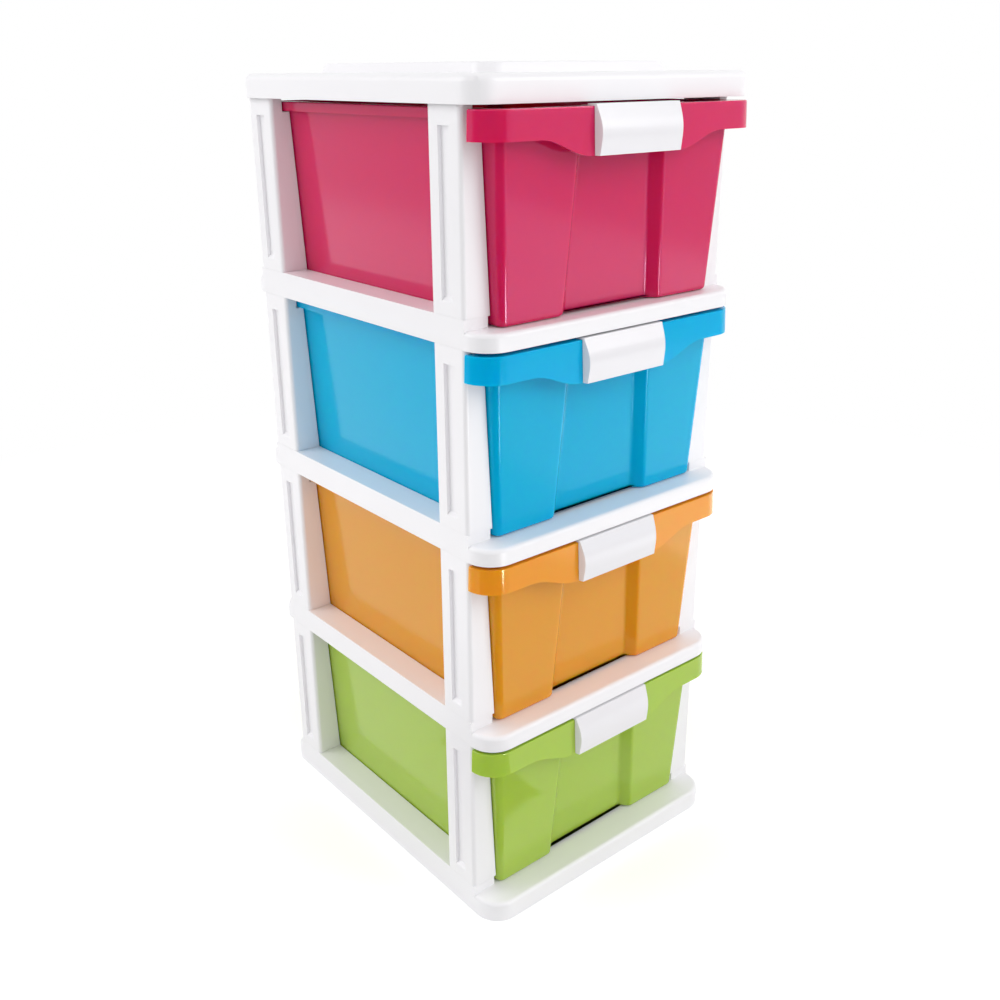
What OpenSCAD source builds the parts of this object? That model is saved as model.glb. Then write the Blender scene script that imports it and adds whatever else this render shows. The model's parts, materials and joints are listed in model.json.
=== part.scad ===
// Four-tier plastic drawer tower.
// Moulded trays stand on corner posts, a cover closes the top, and a clip-on handle
// hooks over the apron of each translucent drawer.
// Millimetres. +Z is up, the drawers open towards -Y, and the tower stands on Z = 0.

/* [Frame] */
// Width over the corner posts
frame_w = 300; // [240:1:380]
// Depth over the corner posts
frame_d = 321; // [260:1:420]
// Height of a corner post between two trays
post_h = 157; // [110:1:220]
// Reach of a shelf tray's lip in front of the posts
front_reach = 25; // [20:0.5:34]
// Reach of the base tray's lip in front of the posts
base_reach = 29; // [20:0.5:40]
// Reach of a tray behind the posts
rear_reach = 18; // [12:0.5:30]

/* [Trays] */
// Height of a shelf tray from its skirt to its rails
shelf_h = 24; // [20:0.5:36]
// Height of the base tray from the floor to its rails
base_h = 29; // [24:0.5:60]
// Wall of a tray and of the cover
tray_wall = 2.6; // [2:0.1:3.4]
// Width of a side rail
rail_w = 26.5; // [24:0.5:34]
// Rise of the side rails above the drawer platform
rail_rise = 9; // [5:0.5:11]
// Plan radius of a tray's front corners
lip_r = 25; // [16:0.5:32]
// Plan radius of a tray's rear corners
rear_r = 17; // [6:0.5:20]
// Rounding along the top edge of a tray's lip
lip_edge_r = 4; // [2:0.25:5]
// Width of the lead-in at the front of each rail
lead_in_w = 2.2; // [1:0.1:2.4]
// Length of the lead-in at the front of each rail
lead_in_l = 9; // [5:0.5:14]
// Thickness of the stiffening ribs
rib_t = 2; // [1.4:0.1:3]
// Depth of the ribs under a tray's platform
rib_drop = 9; // [5:0.5:11]
// Thickness of the ridge that stops a drawer at the back
stop_t = 3; // [2:0.5:5]

/* [Posts] */
// Depth of a post
post_d = 41; // [36:0.5:52]
// Wall of a post
post_wall = 2.4; // [1.8:0.1:3]
// Rounding of a post's outer upright edges
post_edge_r = 4; // [2:0.25:6]
// Width of the groove in a post's outer face
groove_w = 13.5; // [10:0.5:20]
// Depth of that groove
groove_depth = 3.5; // [3:0.25:6]
// Height of the groove's lower end above the post's foot
groove_foot = 11; // [8:0.5:20]
// Distance of the groove's upper end from the post's top
groove_head = 15; // [13:0.5:24]
// Number of cross ribs inside a post
post_ribs = 3; // [1:1:6]
// Radius of the pegs at both ends of a post
peg_r = 2.6; // [2:0.1:3.2]
// Length of those pegs
peg_len = 7.5; // [5:0.5:9]
// Distance between the two pegs of one end
peg_pitch = 24; // [18:0.5:28]
// Distance from a peg's axis to the post's outer face
peg_inset = 6.5; // [6:0.25:7.5]
// Radial clearance of a peg in its socket
peg_clear = 0.15; // [0.05:0.05:0.3]
// Wall of a socket boss
boss_wall = 2; // [1.5:0.1:2.6]

/* [Cover] */
// Height of the cover's edge band
cover_h = 21; // [16:0.5:28]
// Rounding along the cover's top edge
cover_edge_r = 6; // [3:0.25:6.5]
// Overhang of the cover beyond the posts at the sides and the back
cover_over = 5; // [3:0.5:10]
// Reach of the cover in front of the posts
cover_reach = 24; // [18:0.5:34]
// Plan radius of the cover's front corners
cover_front_r = 21; // [12:0.5:30]
// Plan radius of the cover's rear corners
cover_rear_r = 16; // [8:0.5:20]
// Distance from the cover's edge to its raised panel
plateau_inset = 50; // [30:1:70]
// Height of the raised panel
plateau_h = 8; // [4:0.5:16]
// Slope of the raised panel's sides, measured in plan
plateau_slope = 4; // [2:0.5:8]
// Plan radius of the raised panel's corners
plateau_r = 18; // [10:1:30]

/* [Drawers] */
// Draft of the drawer's walls and of the posts' inner faces, in degrees
draft_deg = 2.8; // [1:0.1:3.6]
// Gap between a drawer and a rail
side_gap = 1.5; // [1:0.1:2.5]
// Running gap under a drawer
floor_gap = 0.4; // [0.3:0.1:0.8]
// Gap between a drawer's rim and the tray above
rim_gap = 3; // [2.4:0.1:5]
// Gap between a closed drawer and what stops it
stop_gap = 0.5; // [0.3:0.1:1.5]
// Wall of a drawer
bin_wall = 2.2; // [1.6:0.1:2.8]
// Floor of a drawer
bin_floor = 2.5; // [2:0.1:3.5]
// Radius of a drawer's upright corners
bin_corner_r = 7; // [6.5:0.25:12]
// Outside radius between a drawer's walls and its floor
bin_edge_r = 3.5; // [3:0.25:5.75]
// Reach of a drawer's rim beyond its wall
rim_out = 6.5; // [5:0.25:8]
// Height of the rim's turned-down edge
rim_drop = 8; // [6:0.5:12]
// Thickness of the rim
rim_t = 2; // [1.6:0.1:2.6]
// Depth of the channel down the middle of a drawer's front
channel_d = 9.5; // [6:0.5:14]
// Half width of the channel's back at the drawer's bottom
channel_in = 48; // [40:1:60]
// Lean of the channel's sides, which narrow it towards the top, in degrees
channel_lean_deg = 3.7; // [0:0.1:5]
// Width of each slanted side of the channel
channel_step = 9.5; // [7:0.5:14]
// Tangent length of the channel's rounded edges
channel_edge = 2.5; // [1:0.25:3]
// How far the top drawer stands open at rest
ajar = 8; // [0:1:40]

/* [Aprons] */
// Thickness of the apron in front of a drawer's rim
apron_t = 2.5; // [2:0.1:3.5]
// Gap between the apron and the top of the drawer's front wall
panel_gap = 10.5; // [2:0.5:14]
// Depth of the apron at its ends
apron_end_drop = 22.5; // [16:0.5:28]
// Depth of the apron behind the handle
apron_mid_drop = 36; // [32:0.5:46]
// Half width at which the apron starts to deepen
apron_wide = 101; // [90:1:114]
// Half width at which the apron reaches its full depth
apron_narrow = 50; // [49:1:70]
// Outward lean of the apron, in degrees
apron_lean_deg = 2.2; // [0:0.1:3]

/* [Handles] */
// Length of a handle
handle_w = 94; // [70:1:96]
// Reach in front of the apron of the corner that a handle's two faces are rounded from
handle_bulge = 9; // [7:0.5:14]
// Narrowing of each end of a handle towards its front
cheek_slope = 2; // [0:0.5:4]
// Height of the bulge's crest below the apron's top
crest_drop = 16; // [12:0.5:18]
// Thickness of a handle's lower edge
handle_lip = 4.5; // [3.5:0.25:6]
// Wall of a handle
handle_wall = 2.2; // [1.6:0.1:2.8]
// Reach of the hook over the apron's top
hook_back = 7.5; // [5:0.5:9]
// Thickness of the hook
hook_t = 1.6; // [1.2:0.1:2]
// Radius of a handle's pegs
handle_peg_r = 2.4; // [1.8:0.1:3]
// Distance between a handle's pegs
handle_peg_pitch = 64; // [44:1:72]
// How far a handle's pegs stand out behind the apron
handle_peg_out = 0.8; // [0.4:0.1:1]

/* [Hidden] */
TIERS = ["bottom", "lower", "upper", "top"];
SIDES = ["left", "right"];
ENDS = ["front", "rear"];
FILLS = ["green", "orange", "blue", "pink"];
SHADES = ["yellowgreen", "darkorange", "deepskyblue", "mediumvioletred"];
TRAYS = ["base_tray", "lower_shelf", "middle_shelf", "upper_shelf"];
function post_name(tier, end, side) = str(TIERS[tier], "_", ENDS[end], "_", SIDES[side], "_post");
function bin_name(tier) = str(FILLS[tier], "_drawer_bin");
function handle_name(tier) = str(FILLS[tier], "_drawer_handle");

$fn = 64;
plan_steps = 8;        // facets of a tray's or a cover's rounded corner
sunk = 0.5;            // how deep a rib, boss or peg is rooted in the wall it grows from
edge_soft = 1.2;       // rounding along the top edges of rims and aprons
edge_mid = 0.35;       // how far that rounding's middle lies inside the corner
mouth_soft = 0.8;      // bevel around a drawer's mouth
plateau_soft = 1;      // bevel around the top of the cover's raised panel
peg_chamfer = 0.6;     // bevel at the tip of a peg
corner_steps = 6;      // facets of a drawer's upright corner
edge_steps = 4;        // facets of its small rounded edges
curve_steps = 10;      // facets of a handle's and an apron's curves
crest_soft = 0.5;      // share of each face of a handle that the crest's rounding takes up

half_w = frame_w / 2;
half_d = frame_d / 2;
draft = tan(draft_deg);
lean = tan(apron_lean_deg);
channel_lean = tan(channel_lean_deg);
rail_in = half_w - rail_w;
lip_front = -half_d - front_reach;
base_front = -half_d - base_reach;
tray_back = half_d + rear_reach;
pitch = post_h + shelf_h;
tray_z = [for (tier = [0:3]) tier == 0 ? 0 : base_h + tier * pitch - shelf_h];
tray_h = [for (tier = [0:3]) tier == 0 ? base_h : shelf_h];
cover_z = base_h + 4 * pitch - shelf_h;
function rail_z(tier) = tray_z[tier] + tray_h[tier];

// Drawer sizes, measured from the outside of its floor
bin_z = floor_gap - rail_rise;
bin_h = post_h - bin_z - rim_gap;
bin_front_top = lip_front + apron_t + panel_gap;
stop_front = half_d - post_wall - stop_t;
function bin_half_w(z) = rail_in - side_gap + z * draft;
function bin_front(z) = bin_front_top + (bin_h - z) * draft;
function bin_back(z) = stop_front - stop_gap + (z - rail_rise) * draft;
rim_half_w = bin_half_w(bin_h) + rim_out;
rim_back = bin_back(bin_h) + rim_out;
rim_front = lip_front + apron_t / 2;
rim_side_gap = side_gap;
bin_inner_edge_r = bin_corner_r - bin_wall - edge_soft;

// The notch at a post's head clears the rim of the drawer
notch_x = rim_half_w + rim_side_gap;
notch_h = rim_gap + rim_drop + 2 * floor_gap;
post_mid_y = half_d - post_d / 2;
peg_x = half_w - peg_inset;
boss_r = peg_r + peg_clear + boss_wall;
socket_len = peg_len + sunk;

apron_end_y = -half_d - stop_gap;
apron_r = apron_end_y - lip_front;
handle_bottom = bin_h - apron_mid_drop;
handle_peg_z = bin_h - (crest_drop + apron_mid_drop) / 2 + handle_wall;

/* Curves */

// Points of a quadratic curve from a to b, pulled towards c
function curve(a, c, b, steps) =
    [for (i = [0:steps]) let (s = i / steps) (1 - s) * (1 - s) * a + 2 * s * (1 - s) * c + s * s * b];

// Points of an arc
function arc(centre, r, from, to, steps) =
    [for (i = [0:steps]) let (a = from + (to - from) * i / steps) centre + r * [cos(a), sin(a)]];

function mirrored(points) = [for (i = [len(points) - 1:-1:0]) [-points[i].x, points[i].y]];

// Front outline of a handle as [outward, z], inset from its outer surface: two faces that
// meet in a rounded crest
function handle_front(inset) =
    let (
        top = [hook_t - inset, bin_h + hook_t - inset],
        crest = [handle_bulge - inset, bin_h - crest_drop],
        foot = [handle_lip + lean * apron_mid_drop - inset, handle_bottom + inset],
        rise = crest + (top - crest) * crest_soft,
        fall = crest + (foot - crest) * crest_soft
    )
    concat([top], curve(rise, crest, fall, curve_steps), [foot]);

handle_reach = max([for (p = handle_front(0)) p.x]);
depth_mid = (tray_back + lip_front - handle_reach - ajar) / 2;

/* Outlines and solids that several pieces share */

// A plan with rounded corners, its front and rear radii set apart
module rounded_plan(half, y0, y1, front_r, back_r) {
    polygon([
        [-half + front_r, y0], [half - front_r, y0], [half, y0 + front_r], [half, y1 - back_r],
        [half - back_r, y1], [-half + back_r, y1], [-half, y1 - back_r], [-half, y0 + front_r]
    ]);
    for (s = [-1, 1]) {
        translate([s * (half - front_r), y0 + front_r]) circle(front_r);
        translate([s * (half - back_r), y1 - back_r]) circle(back_r);
    }
}

// Ring of points around such a plan at the height z, anticlockwise from its right rear corner
function plan_ring(half, y0, y1, front_r, back_r, z) = [
    for (p = concat(
        arc([half - back_r, y1 - back_r], back_r, 0, 90, plan_steps),
        arc([back_r - half, y1 - back_r], back_r, 90, 180, plan_steps),
        arc([front_r - half, y0 + front_r], front_r, 180, 270, plan_steps),
        arc([half - front_r, y0 + front_r], front_r, 270, 360, plan_steps)
    )) [p.x, p.y, z]
];

// A block of height h over such a plan, its top edge rounded by soft
module soft_block(half, y0, y1, front_r, back_r, h, soft) {
    skin(concat(
        [plan_ring(half, y0, y1, front_r, back_r, 0)],
        [
            for (a = [0:22.5:90]) let (inset = soft * (1 - cos(a)))
                plan_ring(half - inset, y0 + inset, y1 - inset, front_r - inset, back_r - inset,
                    h - soft * (1 - sin(a)))
        ]
    ));
}

// A block without a rounded edge, used for hollows
module plain_block(half, y0, y1, front_r, back_r, z0, z1) {
    translate([0, 0, z0])
        linear_extrude(z1 - z0) rounded_plan(half, y0, y1, front_r, back_r);
}

module box(x0, x1, y0, y1, z0, z1) {
    translate([x0, y0, z0]) cube([x1 - x0, y1 - y0, z1 - z0]);
}

// Copies the right front corner's solids to all four corners
module four_corners() {
    for (x = [0, 1], y = [0, 1]) mirror([x, 0, 0]) mirror([0, y, 0]) children();
}

// The two peg axes of the right front corner
module at_pegs() {
    for (s = [-1, 1]) translate([peg_x, -post_mid_y + s * peg_pitch / 2, 0]) children();
}

// Bosses of one corner from z = 0 up to height h, tied by a web
module corner_bosses(h) {
    at_pegs() cylinder(r = boss_r, h = h);
    box(peg_x - rib_t / 2, peg_x + rib_t / 2,
        -post_mid_y - peg_pitch / 2, -post_mid_y + peg_pitch / 2, 0, h);
}

module sockets(z) {
    at_pegs() translate([0, 0, z]) cylinder(r = peg_r + peg_clear, h = socket_len);
}

// A closed skin over a list of rings with equally many points
module skin(rings) {
    n = len(rings[0]);
    last = (len(rings) - 1) * n;
    sides = [
        for (i = [0:len(rings) - 2], j = [0:n - 1])
            let (a = i * n + j, b = i * n + (j + 1) % n)
            each [[a, a + n, b + n], [a, b + n, b]]
    ];
    polyhedron(
        points = [for (ring = rings) each ring],
        faces = concat([[for (j = [0:n - 1]) j]], sides, [[for (j = [n - 1:-1:0]) last + j]])
    );
}

/* Trays and cover */

// Side rail on the right of a tray of height h, with its lead-in
module rail(h) {
    difference() {
        box(rail_in, half_w, -half_d, half_d, 0, h);
        translate([0, 0, h - rail_rise])
            linear_extrude(rail_rise + sunk)
                polygon([
                    [rail_in - sunk, -half_d - sunk], [rail_in + lead_in_w, -half_d - sunk],
                    [rail_in + lead_in_w, -half_d], [rail_in, -half_d + lead_in_l],
                    [rail_in - sunk, -half_d + lead_in_l]
                ]);
    }
}

// Ribs under a platform whose underside lies at z, from the lip's front y0 backwards
module tray_ribs(y0, z) {
    for (x = [-0.4, 0.4] * half_w)
        box(x - rib_t / 2, x + rib_t / 2, y0 + tray_wall - sunk,
            tray_back - tray_wall + sunk, z - rib_drop, z + sunk);
    for (y = [-0.5, 0, 0.5] * frame_d)
        box(-half_w + tray_wall - sunk, half_w - tray_wall + sunk,
            y - rib_t / 2, y + rib_t / 2, z - rib_drop, z + sunk);
}

// A tray of height h whose lip starts at y0; posts plug in from above and, on a shelf, from below
module tray(h, y0, has_posts_below) {
    platform = h - rail_rise;
    difference() {
        union() {
            difference() {
                union() {
                    soft_block(half_w, y0, tray_back, lip_r, rear_r, platform, lip_edge_r);
                    rail(h);
                    mirror([1, 0, 0]) rail(h);
                }
                plain_block(half_w - tray_wall, y0 + tray_wall, tray_back - tray_wall,
                    lip_r - tray_wall, rear_r - tray_wall, -sunk, platform - tray_wall);
                for (x = [0, 1]) mirror([x, 0, 0])
                    box(rail_in + tray_wall, half_w - tray_wall,
                        -half_d + tray_wall, half_d - tray_wall, 0, h - tray_wall);
            }
            tray_ribs(y0, platform - tray_wall);
            four_corners() corner_bosses(h - tray_wall + sunk);
            box(-rail_in - sunk, rail_in + sunk, stop_front, stop_front + stop_t, platform - sunk, h);
        }
        four_corners() sockets(h - peg_len);
        if (has_posts_below) four_corners() sockets(-sunk);
    }
}

module tray_of_tier(tier) {
    y0 = tier == 0 ? base_front : lip_front;
    color("white") translate([0, 0, tray_z[tier]]) tray(tray_h[tier], y0, tier > 0);
}

// The cover's hollow underside carries bearing ribs that stand on the posts
module top_cover() {
    half = half_w + cover_over;
    y0 = -half_d - cover_reach;
    y1 = half_d + cover_over;
    foot = plateau_inset;
    head = plateau_inset + plateau_slope;
    hollow = head + tray_wall;
    color("white") translate([0, 0, cover_z]) difference() {
        union() {
            difference() {
                union() {
                    soft_block(half, y0, y1, cover_front_r, cover_rear_r, cover_h, cover_edge_r);
                    skin([
                        for (step = [[foot, 0, -sunk], [head - plateau_soft, 0, plateau_h - plateau_soft],
                                [head, plateau_soft, plateau_h]])
                            plan_ring(half - step[0], y0 + step[0], y1 - step[0],
                                plateau_r - step[1], plateau_r - step[1], cover_h + step[2])
                    ]);
                }
                plain_block(half - tray_wall, y0 + tray_wall, y1 - tray_wall,
                    cover_front_r - tray_wall, cover_rear_r - tray_wall, -sunk, cover_h - tray_wall);
                plain_block(half - hollow, y0 + hollow, y1 - hollow, plateau_r - tray_wall,
                    plateau_r - tray_wall, 0, cover_h + plateau_h - tray_wall);
            }
            for (x = [-1, 1] * (half_w - rib_t))
                box(x - rib_t / 2, x + rib_t / 2, y0 + tray_wall - sunk, y1 - tray_wall + sunk,
                    0, cover_h - tray_wall + sunk);
            for (y = [-1, 1] * post_mid_y)
                box(-half + tray_wall - sunk, half - tray_wall + sunk, y - rib_t / 2, y + rib_t / 2,
                    cover_h - tray_wall - rib_drop, cover_h - tray_wall + sunk);
            four_corners() corner_bosses(cover_h - tray_wall + sunk);
        }
        four_corners() sockets(-sunk);
    }
}

/* Posts */

module post_plan() {
    x = half_w - post_edge_r;
    y0 = -half_d + post_edge_r;
    y1 = -half_d + post_d - post_edge_r;
    polygon([
        [rail_in, -half_d], [x, -half_d], [half_w, y0], [half_w, y1],
        [x, -half_d + post_d], [rail_in, -half_d + post_d]
    ]);
    for (y = [y0, y1]) translate([x, y]) circle(post_edge_r);
}

// Solid over an [x, z] outline, between two depths
module along_y(points, y0, y1) {
    translate([0, y1, 0]) rotate([90, 0, 0]) linear_extrude(y1 - y0) polygon(points);
}

// The right front post with its foot at z = 0, a moulding open towards the drawer
module corner_post() {
    shoulder = post_h - notch_h;
    groove_top = post_h - groove_head;
    y0 = -half_d;
    y1 = -half_d + post_d;
    bay = (shoulder - post_wall) / (post_ribs + 1);
    back_x = half_w - groove_depth - post_wall;
    back_half = groove_w / 2 + post_wall;
    difference() {
        intersection() {
            linear_extrude(post_h) post_plan();
            along_y([
                [rail_in, 0], [half_w, 0], [half_w, post_h], [notch_x, post_h],
                [notch_x, shoulder], [rail_in + shoulder * draft, shoulder]
            ], y0, y1);
        }
        difference() {
            for (i = [0:post_ribs])
                box(rail_in - sunk, half_w - post_wall, y0 + post_wall, y1 - post_wall,
                    i * bay + post_wall, (i + 1) * bay);
            box(back_x, half_w, -post_mid_y - back_half, -post_mid_y + back_half,
                groove_foot - post_wall, groove_top + post_wall);
        }
        along_y([
            [half_w + sunk, groove_foot - sunk],
            [half_w - groove_depth, groove_foot + groove_depth],
            [half_w - groove_depth, groove_top], [half_w + sunk, groove_top]
        ], -post_mid_y - groove_w / 2, -post_mid_y + groove_w / 2);
    }
    at_pegs() {
        translate([0, 0, post_h - sunk]) peg();
        translate([0, 0, sunk]) mirror([0, 0, 1]) peg();
    }
}

module peg() {
    cylinder(r = peg_r, h = peg_len + sunk - peg_chamfer);
    translate([0, 0, peg_len + sunk - peg_chamfer])
        cylinder(r1 = peg_r, r2 = peg_r - peg_chamfer, h = peg_chamfer);
}

module post_of_tier(tier, end, side) {
    color("white") translate([0, 0, rail_z(tier)])
        mirror([1 - side, 0, 0]) mirror([0, end, 0]) corner_post();
}

/* Drawers */

// Rounded step from the front wall into the channel, on the left side of the drawer
function channel_side(front, depth, inner, outer) =
    let (
        a = [-outer, front],
        b = [-inner, front + depth],
        along = (b - a) / norm(b - a),
        flat = [channel_edge, 0],
        slanted = channel_edge * along
    )
    concat(curve(a - flat, a, a + slanted, edge_steps), curve(b - slanted, b, b + flat, edge_steps));

// Ring of points around a drawer, anticlockwise from its right rear corner
function bin_ring(z, half, front, back, r, depth, shift) =
    let (
        inner = channel_in - z * channel_lean + shift,
        side = channel_side(front, depth, inner, inner + channel_step)
    )
    [
        for (p = concat(
            arc([half - r, back - r], r, 0, 90, corner_steps),
            arc([r - half, back - r], r, 90, 180, corner_steps),
            arc([r - half, front + r], r, 180, 270, corner_steps),
            side,
            mirrored(side),
            arc([half - r, front + r], r, 270, 360, corner_steps)
        )) [p.x, p.y, z]
    ];

// How far the channel's edges move outwards for each unit that its walls are offset inwards
channel_shift = (norm([channel_step, channel_d]) - channel_step) / channel_d;

// Ring on the drafted wall, offset outwards by out
function wall_ring(z, out) =
    bin_ring(z, bin_half_w(z) + out, bin_front(z) - out, bin_back(z) + out,
        bin_corner_r + out, channel_d, -channel_shift * out);

// Ring on the rim's outer face, offset outwards by out
function rim_ring(z, out) =
    bin_ring(z, rim_half_w + out, rim_front - out, rim_back + out,
        bin_corner_r + rim_out + out, 0, 0);

function bin_rings() = concat(
    [for (a = [0:22.5:90]) wall_ring(bin_edge_r * (1 - cos(a)), -bin_edge_r * (1 - sin(a)))],
    [
        wall_ring(bin_h - rim_t, 0),
        rim_ring(bin_h - rim_t, -rim_t),
        rim_ring(bin_h - rim_drop, -rim_t),
        rim_ring(bin_h - rim_drop, 0),
        rim_ring(bin_h - edge_soft, 0),
        rim_ring(bin_h - edge_mid, -edge_mid),
        rim_ring(bin_h, -edge_soft),
        wall_ring(bin_h, mouth_soft - bin_wall),
        wall_ring(bin_h - mouth_soft, -bin_wall)
    ],
    [
        for (a = [90:-22.5:0])
            wall_ring(bin_floor + bin_inner_edge_r * (1 - cos(a)),
                -bin_wall - bin_inner_edge_r * (1 - sin(a)))
    ]
);

// Depth of the apron at a distance x from the middle
function apron_drop(x) =
    let (s = min(1, max(0, (apron_wide - abs(x)) / (apron_wide - apron_narrow))))
    apron_end_drop + (apron_mid_drop - apron_end_drop) * (1 - cos(180 * s)) / 2;

// Upright section of the apron at a point p of its path, facing the direction u
function apron_section(p, u) =
    let (
        drop = apron_drop(p.x),
        out = lean * drop,
        outline = [
            [-apron_t, 0], [-edge_soft, 0], [-edge_mid, -edge_mid], [0, -edge_soft],
            [out, -drop], [out - apron_t, -drop]
        ]
    )
    [for (q = outline) [p.x + q[0] * u.x, p.y + q[0] * u.y, bin_h + q[1]]];

function apron_rings() =
    let (
        bend = half_w - apron_r,
        sway = [for (i = [0:curve_steps]) apron_wide + (apron_narrow - apron_wide) * i / curve_steps],
        xs = concat([for (x = sway) -x], [for (i = [curve_steps:-1:0]) sway[i]]),
        angles = [for (i = [0:corner_steps + 2]) 90 * i / (corner_steps + 2)]
    )
    concat(
        [for (a = angles) let (u = [-cos(a), -sin(a)]) apron_section([-bend, apron_end_y] + apron_r * u, u)],
        [for (x = xs) apron_section([x, lip_front], [0, -1])],
        [for (a = angles) let (u = [sin(a), -cos(a)]) apron_section([bend, apron_end_y] + apron_r * u, u)]
    );

// Plate that joins the apron's top edge to the drawer's wall
module apron_plate() {
    inset = edge_soft + edge_mid;
    mouth = wall_ring(bin_h, -bin_wall / 2);
    translate([0, 0, bin_h - rim_t]) linear_extrude(rim_t) difference() {
        intersection() {
            rounded_plan(half_w - inset, lip_front + inset, half_d, apron_r - inset, edge_soft);
            translate([-half_w, lip_front]) square([frame_w, apron_r]);
        }
        polygon([for (p = mouth) [p.x, p.y]]);
    }
}

module at_handle_pegs() {
    for (s = [-1, 1]) translate([s * handle_peg_pitch / 2, lip_front, handle_peg_z])
        rotate([90, 0, 0]) children();
}

module drawer_bin() {
    difference() {
        union() {
            skin(bin_rings());
            skin(apron_rings());
            apron_plate();
        }
        at_handle_pegs()
            translate([0, 0, -apron_t - sunk])
                cylinder(r = handle_peg_r + peg_clear, h = apron_t + 2 * sunk + lean * apron_mid_drop);
    }
}

// Solid along X over an [outward, z] outline in front of the apron
module along_x(points, length) {
    translate([-length / 2, 0, 0]) rotate([90, 0, 90])
        linear_extrude(length) polygon([for (p = points) [lip_front - p.x, p.y]]);
}

// Keeps what lies between a handle's two end cheeks, inset from their outer faces
module between_cheeks(inset) {
    half = handle_w / 2 - inset;
    y_hook = lip_front + hook_back + sunk;
    y_bulge = lip_front - handle_bulge;
    intersection() {
        children();
        translate([0, 0, handle_bottom - sunk]) linear_extrude(bin_h + hook_t - handle_bottom + 2 * sunk)
            polygon([
                [half, y_hook], [-half, y_hook], [-half, lip_front], [cheek_slope - half, y_bulge],
                [half - cheek_slope, y_bulge], [half, lip_front]
            ]);
    }
}

module drawer_handle() {
    lean_out = lean * apron_mid_drop;
    difference() {
        between_cheeks(0) along_x(concat(
            [[0, bin_h], [-hook_back, bin_h], [-hook_back, bin_h + hook_t]],
            handle_front(0),
            [[lean_out, handle_bottom]]
        ), handle_w);
        between_cheeks(handle_wall) along_x(concat(
            [[-sunk, bin_h - handle_wall]],
            [for (p = handle_front(handle_wall)) if (p.y < bin_h - handle_wall) p],
            [[-sunk, handle_bottom + handle_wall]]
        ), handle_w);
    }
    at_handle_pegs()
        translate([0, 0, -apron_t - handle_peg_out])
            cylinder(r = handle_peg_r, h = apron_t + handle_peg_out + handle_bulge - handle_wall);
}

module at_drawer(tier) {
    translate([0, tier == 3 ? -ajar : 0, rail_z(tier) + bin_z]) children();
}

module bin_of_tier(tier) {
    color(SHADES[tier], 0.8) at_drawer(tier) drawer_bin();
}

module handle_of_tier(tier) {
    color("whitesmoke") at_drawer(tier) drawer_handle();
}

// Moves the origin to the middle of the tower's whole depth
module centred() {
    translate([0, -depth_mid, 0]) children();
}

for (tier = [0:3]) {
    centred() tray_of_tier(tier);
    centred() bin_of_tier(tier);
    centred() handle_of_tier(tier);
    for (end = [0:1], side = [0:1])
        centred() post_of_tier(tier, end, side);
}
centred() top_cover();
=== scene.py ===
"""Looks of a plastic drawer tower: a satin white frame and glossy coloured drawers.

Each CAD solid is replaced by a copy with rounded edges, and stands in a white studio.
Metres, +Z up, and the drawers open towards -Y.
"""

import json
import math

import bmesh
import bpy
from mathutils import Matrix, Vector


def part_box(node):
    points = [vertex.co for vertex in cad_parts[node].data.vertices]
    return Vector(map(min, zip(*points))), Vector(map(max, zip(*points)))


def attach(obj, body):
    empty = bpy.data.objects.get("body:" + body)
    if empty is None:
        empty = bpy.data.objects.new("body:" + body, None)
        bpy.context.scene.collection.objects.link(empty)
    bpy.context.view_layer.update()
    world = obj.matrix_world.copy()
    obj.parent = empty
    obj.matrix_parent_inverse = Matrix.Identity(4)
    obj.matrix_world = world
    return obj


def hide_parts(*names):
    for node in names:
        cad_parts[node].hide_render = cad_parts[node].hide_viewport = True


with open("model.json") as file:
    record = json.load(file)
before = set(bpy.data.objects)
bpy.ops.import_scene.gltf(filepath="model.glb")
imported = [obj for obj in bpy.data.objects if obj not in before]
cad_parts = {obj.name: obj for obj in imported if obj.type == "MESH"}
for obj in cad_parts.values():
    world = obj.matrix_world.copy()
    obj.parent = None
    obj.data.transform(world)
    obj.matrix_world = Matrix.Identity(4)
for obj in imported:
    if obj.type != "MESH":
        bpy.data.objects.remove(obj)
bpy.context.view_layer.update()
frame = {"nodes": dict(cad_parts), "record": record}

MM = 0.001

# ---------------------------------------------------------------- edges and corners

SOFT_EDGE = 0.7 * MM            # rounding of the white mouldings' edges
DRAWER_EDGE = 0.5 * MM          # rounding of the drawers' edges
HANDLE_EDGE = 1.0 * MM          # rounding of the handles' edges
EDGE_SEGMENTS = 2               # facets across a rounded edge
SHARP_ANGLE = 35.0              # edges that turn by more than this, in degrees, are real edges
FLAT_ANGLE = 0.4                # facets that turn by less than this, in degrees, are one face
WELD = 0.02 * MM                # vertices closer than this are one
COVER_FRONT_R = 21.0 * MM       # plan radius of the cover's front corners
COVER_REAR_R = 16.0 * MM        # plan radius of the cover's rear corners
COVER_BAND = 15.0 * MM          # height of the cover's upright band, below its rounded top edge
POKE = 0.2 * MM                 # what reaches further than this out of a corner is cut off

# ---------------------------------------------------------------- plastics, colours linear

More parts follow.
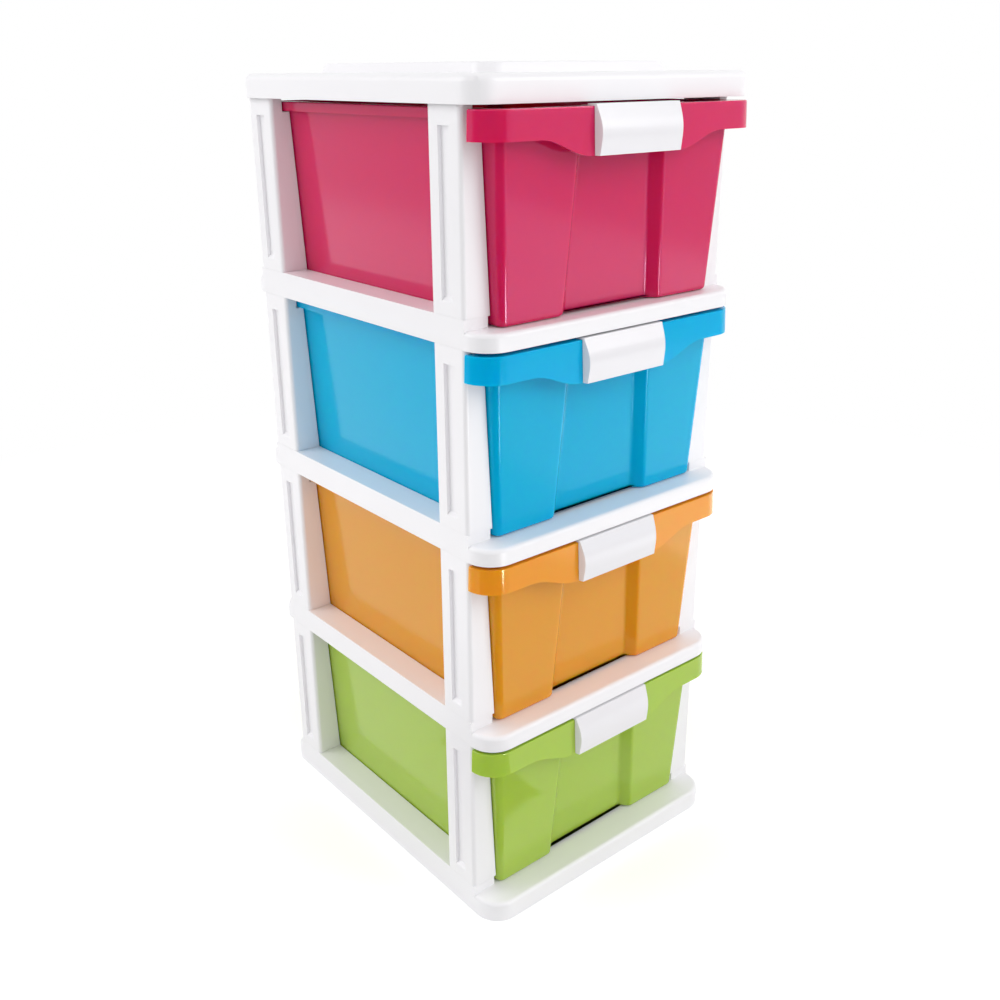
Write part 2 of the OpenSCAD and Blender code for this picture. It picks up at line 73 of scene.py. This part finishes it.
WHITE = (0.91, 0.90, 0.925)
HANDLE_WHITE = (0.83, 0.82, 0.85)
DRAWER_PLASTICS = {             # colour of the plastic, tint of its gloss, strength of its gloss
    "pink": ((0.68, 0.018, 0.115), (0.7, 0.6, 0.9), 0.5),
    "blue": ((0.002, 0.46, 0.80), (0.4, 0.9, 1.0), 0.2),
    "orange": ((0.97, 0.34, 0.02), (1.0, 1.0, 0.67), 0.5),
    "green": ((0.42, 0.60, 0.08), (1.0, 1.0, 0.75), 0.5),
}
PLASTIC_IOR = 1.49
PLAIN = (1.0, 1.0, 1.0)         # no tint
PATCH_SCALE = 14.0              # patches of duller and brighter gloss, per metre
PATCH_SPREAD = 0.12             # how much the roughness varies between them, as a share
WAVE_SCALE = 22.0               # slow waves in a moulded wall, per metre
WAVE_STRENGTH = 0.25
WAVE_HEIGHT = 0.12 * MM
GRAIN_SCALE = 1500.0            # the grain of the mould's steel, per metre
GRAIN_HEIGHT = 0.05 * MM
COARSE, FINE = 1.0, 2.0         # detail of a noise texture
NOISE_RANGE = (0.3, 0.7)        # where most of a noise texture's values lie

# ---------------------------------------------------------------- node helpers


def set_sockets(node, **sockets):
    """Sets a node's input sockets by name, with spaces written as underscores."""
    for name, value in sockets.items():
        node.inputs[name.replace("_", " ")].default_value = value


def add_node(tree, kind, **sockets):
    """Adds a shader node and sets its input sockets."""
    node = tree.nodes.new(kind)
    set_sockets(node, **sockets)
    return node


def new_material(name, **sockets):
    """A material, its node tree and its Principled shader with the sockets set."""
    material = bpy.data.materials.new(name)
    material.use_nodes = True
    tree = material.node_tree
    shader = tree.nodes["Principled BSDF"]
    set_sockets(shader, **sockets)
    return material, tree, shader


def combined(tree, operation, *values):
    """A math node over sockets or plain numbers."""
    node = tree.nodes.new("ShaderNodeMath")
    node.operation = operation
    for socket, value in zip(node.inputs, values):
        if isinstance(value, bpy.types.NodeSocket):
            tree.links.new(value, socket)
        else:
            socket.default_value = value
    return node.outputs[0]


def spread(tree, value, source, target):
    """Maps a value from the range source to the range target, kept within target."""
    node = add_node(
        tree, "ShaderNodeMapRange",
        From_Min=source[0], From_Max=source[1], To_Min=target[0], To_Max=target[1],
    )
    tree.links.new(value, node.inputs["Value"])
    return node.outputs["Result"]


def noise_field(tree, coords, scale, detail):
    """Noise fixed to the piece, as a value around one half."""
    noise = add_node(tree, "ShaderNodeTexNoise", Scale=scale, Detail=detail)
    tree.links.new(coords.outputs["Object"], noise.inputs["Vector"])
    return noise.outputs["Fac"]


def bump(tree, height, strength, distance, normal=None):
    """Tilts the surface by a height field, on top of another bump if one is given."""
    node = add_node(tree, "ShaderNodeBump", Strength=strength, Distance=distance)
    tree.links.new(height, node.inputs["Height"])
    if normal:
        tree.links.new(normal, node.inputs["Normal"])
    return node.outputs["Normal"]


def moulded_plastic(name, colour, roughness, grain, sub, depth, glow=PLAIN, clear=0.0,
                    tint=PLAIN, gloss=0.5):
    """Injection-moulded plastic of an even colour, with gloss that varies a little.

    sub, depth and glow set the light that scatters in the wall, and clear the share that passes.
    """
    material, tree, shader = new_material(
        name,
        Base_Color=(*colour, 1.0),
        IOR=PLASTIC_IOR,
        Subsurface_Weight=sub,
        Subsurface_Radius=glow,
        Subsurface_Scale=depth,
        Transmission_Weight=clear,
        Specular_IOR_Level=gloss,
        Specular_Tint=(*tint, 1.0),
    )
    coords = tree.nodes.new("ShaderNodeTexCoord")
    patches = noise_field(tree, coords, PATCH_SCALE, FINE)
    dull_and_bright = (roughness * (1.0 - PATCH_SPREAD), roughness * (1.0 + PATCH_SPREAD))
    tree.links.new(
        spread(tree, patches, NOISE_RANGE, dull_and_bright), shader.inputs["Roughness"]
    )
    waves = bump(tree, noise_field(tree, coords, WAVE_SCALE, COARSE), WAVE_STRENGTH, WAVE_HEIGHT)
    fine = bump(tree, noise_field(tree, coords, GRAIN_SCALE, FINE), grain, GRAIN_HEIGHT, waves)
    tree.links.new(fine, shader.inputs["Normal"])
    return material


# ---------------------------------------------------------------- pieces


def trim_corners(bm):
    """Takes back the rib ends that reach through the cover's rounded corners, onto its skin."""
    low = [min(v.co[i] for v in bm.verts) for i in range(3)]
    high = [max(v.co[i] for v in bm.verts) for i in range(3)]
    corners = (
        (low[1] + COVER_FRONT_R, COVER_FRONT_R, -1),
        (high[1] - COVER_REAR_R, COVER_REAR_R, 1),
    )

    def outside(place):
        for centre_y, radius, side in corners:
            across = abs(place.x) - (high[0] - radius)
            along = (place.y - centre_y) * side
            if across > 0.0 and along > 0.0 and math.hypot(across, along) > radius + POKE:
                return True
        return False

    # a cut at the band's top keeps the rounded edge above it as it is
    bmesh.ops.bisect_plane(
        bm, geom=bm.verts[:] + bm.edges[:] + bm.faces[:], dist=WELD,
        plane_co=(0.0, 0.0, low[2] + COVER_BAND), plane_no=(0.0, 0.0, 1.0),
    )
    kept = [v for v in bm.verts if not outside(v.co)]
    pairs = {}
    for vert in bm.verts:
        if outside(vert.co):
            beside = [
                v for v in kept
                if abs(v.co.x - vert.co.x) < WELD and abs(v.co.z - vert.co.z) < WELD
            ]
            pairs[vert] = min(beside, key=lambda v: abs(v.co.y - vert.co.y))
    bmesh.ops.weld_verts(bm, targetmap=pairs)
    bmesh.ops.dissolve_degenerate(bm, dist=WELD, edges=bm.edges)


def cleaned_copy(node, name):
    """A new object with a CAD node's shape, its flat facets joined into single faces."""
    mesh = frame["nodes"][node].data.copy()
    piece = bpy.data.objects.new(name, mesh)
    bpy.context.scene.collection.objects.link(piece)
    bm = bmesh.new()
    bm.from_mesh(mesh)
    bmesh.ops.remove_doubles(bm, verts=bm.verts, dist=WELD)
    bmesh.ops.dissolve_limit(
        bm, angle_limit=math.radians(FLAT_ANGLE), verts=bm.verts, edges=bm.edges, delimit=set()
    )
    if node == "top_cover":
        trim_corners(bm)
    bm.to_mesh(mesh)
    bm.free()
    return piece


def soften(piece, width):
    """Rounds a piece's real edges and shades it as one smooth moulding with flat panels."""
    piece.data.shade_smooth()
    bevel = piece.modifiers.new("rounding", "BEVEL")
    bevel.width = width
    bevel.segments = EDGE_SEGMENTS
    bevel.limit_method = "ANGLE"
    bevel.angle_limit = math.radians(SHARP_ANGLE)
    bevel.use_clamp_overlap = True
    weights = piece.modifiers.new("flat panels", "WEIGHTED_NORMAL")
    weights.keep_sharp = True
    evaluated = piece.evaluated_get(bpy.context.evaluated_depsgraph_get())
    baked = bpy.data.meshes.new_from_object(evaluated)
    piece.modifiers.clear()
    piece.data = baked


def moulding(node, body, material, width):
    """Stands a softened copy in for a CAD node."""
    piece = cleaned_copy(node, node + "_moulding")
    soften(piece, width)
    piece.data.materials.clear()
    piece.data.materials.append(material)
    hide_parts(node)
    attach(piece, body)


# ---------------------------------------------------------------- the tower

white = moulded_plastic(
    "white_polypropylene", WHITE, roughness=0.34, grain=0.12, sub=0.15, depth=3.0 * MM
)
handle_white = moulded_plastic(
    "handle_polypropylene", HANDLE_WHITE, roughness=0.22, grain=0.05, sub=0.12, depth=2.0 * MM
)

for frame_node in frame["record"]["behaviour"]["bodies"]["frame"]:
    moulding(frame_node, "frame", white, SOFT_EDGE)

for colour_name, (colour, tint, gloss) in DRAWER_PLASTICS.items():
    fill = moulded_plastic(
        colour_name + "_polypropylene", colour, roughness=0.12, grain=0.03,
        sub=0.85, depth=7.0 * MM, glow=colour, clear=0.05, tint=tint, gloss=gloss,
    )
    drawer = colour_name + "_drawer"
    moulding(drawer + "_bin", drawer, fill, DRAWER_EDGE)
    moulding(drawer + "_handle", drawer, handle_white, HANDLE_EDGE)

# ---------------------------------------------------------------- studio

AMBIENT = 0.72                  # brightness of the surroundings as a light
FLOOR_REACH = 6.0               # half side of the floor
FLOOR_CELLS = 8                 # cells along a side of the floor's grid
FLOOR_WHITE = 0.9
FLOOR_ROUGHNESS = 0.9
FLOOR_GLOW = 0.30               # extra brightness of the floor, for the camera and reflections
NEAR, FAR = 0.45, 1.5           # radii between which the floor fades into plain white

TOWER_MIDDLE = (0.0, 0.0, 0.35)
SOFTBOX = (1.4, 1.6)            # width and height of a softbox
STRIP = (0.09, 0.30)            # the same of the strip in front of the drawers
CARD = (1.6, 4.0)               # the same of a lamp lying on the floor
CARD_Z = 2 * MM                 # height of such a lamp above the floor
LAMPS = (                       # name, place, target, size, watts, seen by reflections alone
    ("right_softbox", (1.3, -2.0, 1.7), TOWER_MIDDLE, SOFTBOX, 23.0, False),
    ("left_softbox", (-1.9, 1.2, 1.9), TOWER_MIDDLE, SOFTBOX, 21.0, False),
    ("strip_light", (-0.04, -0.97, 0.20), (-0.04, -0.17, 0.20), STRIP, 3.0, True),
    ("front_card", (1.35, -1.55, CARD_Z), (1.35, -1.55, 1.0), CARD, 20.0, True),
    ("left_card", (-1.3, 1.75, CARD_Z), (-1.3, 1.75, 1.0), CARD, 12.0, True),
)

FLAG_START = math.radians(-88)  # the black card's angles around the tower, from +X
FLAG_END = math.radians(-200)
FLAG_INNER, FLAG_OUTER = 0.24, 3.0
FLAG_Z = 0.5 * MM               # height of the black card above the floor
FLAG_RIM = 1.0                  # height of its upright rim
FLAG_STEPS = 24


def seen_ray(tree):
    """1 for camera, glossy and transmission rays, 0 for the others."""
    path = tree.nodes.new("ShaderNodeLightPath")
    camera, glossy = path.outputs["Is Camera Ray"], path.outputs["Is Glossy Ray"]
    straight = combined(tree, "MAXIMUM", camera, glossy)
    return combined(tree, "MAXIMUM", straight, path.outputs["Is Transmission Ray"])


def make_world():
    """Even white surroundings: full white to look at, weaker as a light."""
    world = bpy.data.worlds.new("studio")
    world.use_nodes = True
    tree = world.node_tree
    background = tree.nodes["Background"]
    background.inputs["Color"].default_value = (1.0, 1.0, 1.0, 1.0)
    brightness = spread(tree, seen_ray(tree), (0.0, 1.0), (AMBIENT, 1.0))
    tree.links.new(brightness, background.inputs["Strength"])
    bpy.context.scene.world = world


def studio_object(name, bm, material):
    """An object made of a finished bmesh, in the scene."""
    mesh = bpy.data.meshes.new(name)
    bm.to_mesh(mesh)
    bm.free()
    mesh.materials.append(material)
    thing = bpy.data.objects.new(name, mesh)
    bpy.context.scene.collection.objects.link(thing)
    return thing


def make_floor():
    """A white sweep that keeps the tower's soft shadow and fades into the white surroundings."""
    material, tree, shader = new_material(
        "paper_sweep",
        Base_Color=(FLOOR_WHITE, FLOOR_WHITE, FLOOR_WHITE, 1.0),
        Roughness=FLOOR_ROUGHNESS,
        Specular_IOR_Level=0.0,
        Emission_Color=(1.0, 1.0, 1.0, 1.0),
    )
    seen = seen_ray(tree)
    glow = combined(tree, "MULTIPLY", seen, FLOOR_GLOW)
    tree.links.new(glow, shader.inputs["Emission Strength"])
    coords = tree.nodes.new("ShaderNodeTexCoord")
    radius = tree.nodes.new("ShaderNodeVectorMath")
    radius.operation = "LENGTH"
    tree.links.new(coords.outputs["Object"], radius.inputs[0])
    distance = spread(tree, radius.outputs["Value"], (NEAR, FAR), (0.0, 1.0))
    fade = combined(tree, "MULTIPLY", seen, distance)
    plain = add_node(tree, "ShaderNodeEmission", Color=(1.0, 1.0, 1.0, 1.0), Strength=1.0)
    mix = tree.nodes.new("ShaderNodeMixShader")
    tree.links.new(fade, mix.inputs[0])
    tree.links.new(shader.outputs[0], mix.inputs[1])
    tree.links.new(plain.outputs[0], mix.inputs[2])
    tree.links.new(mix.outputs[0], tree.nodes["Material Output"].inputs["Surface"])
    bm = bmesh.new()
    bmesh.ops.create_grid(bm, x_segments=FLOOR_CELLS, y_segments=FLOOR_CELLS, size=FLOOR_REACH)
    floor = studio_object("floor", bm, material)


def make_lamp(name, place, target, size, power, glossy_only):
    """A rectangular area lamp that the camera doesn't see."""
    light = bpy.data.lights.new(name, "AREA")
    light.shape = "RECTANGLE"
    light.size, light.size_y = size
    light.energy = power
    lamp = bpy.data.objects.new(name, light)
    lamp.location = place
    aim = Vector(target) - Vector(place)
    lamp.rotation_euler = aim.to_track_quat("-Z", "Y").to_euler()
    lamp.visible_camera = False
    if glossy_only:
        lamp.visible_diffuse = False
        lamp.visible_transmission = False
    bpy.context.scene.collection.objects.link(lamp)


def make_flag():
    """A black card on the floor with an upright rim, seen by reflections alone."""
    bm = bmesh.new()
    rings = []
    for radius, z in ((FLAG_INNER, FLAG_Z), (FLAG_OUTER, FLAG_Z), (FLAG_OUTER, FLAG_RIM)):
        ring = []
        for i in range(FLAG_STEPS + 1):
            angle = FLAG_START + (FLAG_END - FLAG_START) * i / FLAG_STEPS
            ring.append(bm.verts.new((radius * math.cos(angle), radius * math.sin(angle), z)))
        rings.append(ring)
    for low, high in zip(rings, rings[1:]):
        for i in range(FLAG_STEPS):
            bm.faces.new((low[i], low[i + 1], high[i + 1], high[i]))
    material, _, _ = new_material(
        "black_card", Base_Color=(0.0, 0.0, 0.0, 1.0), Roughness=1.0, Specular_IOR_Level=0.0
    )
    flag = studio_object("flag", bm, material)
    for kind in ("camera", "diffuse", "transmission", "shadow", "volume_scatter"):
        setattr(flag, "visible_" + kind, False)


make_world()
make_floor()
for lamp_values in LAMPS:
    make_lamp(*lamp_values)
make_flag()

# ---------------------------------------------------------------- camera

PHOTO_SIZE = 1000.0             # width and height of the picture, in pixels
FOCAL_PX = 1082.6               # focal length, in pixels
PRINCIPAL_PX = (498.84, 477.08)          # where the optical axis meets the picture
SENSOR = 36.0                   # width of the camera's sensor, in millimetres
CLIP_START = 0.05
CAMERA_X, CAMERA_Z = -650.8 * MM, 753.2 * MM
CAMERA_TO_POSTS = 648.8 * MM    # how far the camera stands in front of the posts' front faces
AZIMUTH = math.radians(-39.50)  # turn of the view about +Z, from looking along +Y
ELEVATION = math.radians(-20.71)         # how far the view is tilted up
ROLL = math.radians(-0.455)     # turn of the picture about the view's axis


def make_camera():
    """The photograph's camera, placed from the bottom front left post."""
    data = bpy.data.cameras.new("camera")
    data.sensor_width = SENSOR
    data.sensor_fit = "HORIZONTAL"
    data.lens = FOCAL_PX / PHOTO_SIZE * SENSOR
    data.shift_x = 0.5 - PRINCIPAL_PX[0] / PHOTO_SIZE
    data.shift_y = PRINCIPAL_PX[1] / PHOTO_SIZE - 0.5
    data.clip_start = CLIP_START
    camera = bpy.data.objects.new("camera", data)
    ahead = Vector((
        -math.sin(AZIMUTH) * math.cos(ELEVATION),
        math.cos(AZIMUTH) * math.cos(ELEVATION),
        math.sin(ELEVATION),
    ))
    level = Vector((math.cos(AZIMUTH), math.sin(AZIMUTH), 0.0))
    upright = level.cross(ahead)
    right = level * math.cos(ROLL) + upright * math.sin(ROLL)
    up = upright * math.cos(ROLL) - level * math.sin(ROLL)
    posts_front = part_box("bottom_front_left_post")[0][1]
    place = Vector((CAMERA_X, posts_front - CAMERA_TO_POSTS, CAMERA_Z))
    turn = Matrix((right, up, -ahead)).transposed().to_4x4()
    camera.matrix_world = Matrix.Translation(place) @ turn
    bpy.context.scene.collection.objects.link(camera)
    bpy.context.scene.camera = camera


make_camera()
bpy.context.scene.view_settings.view_transform = "Standard"
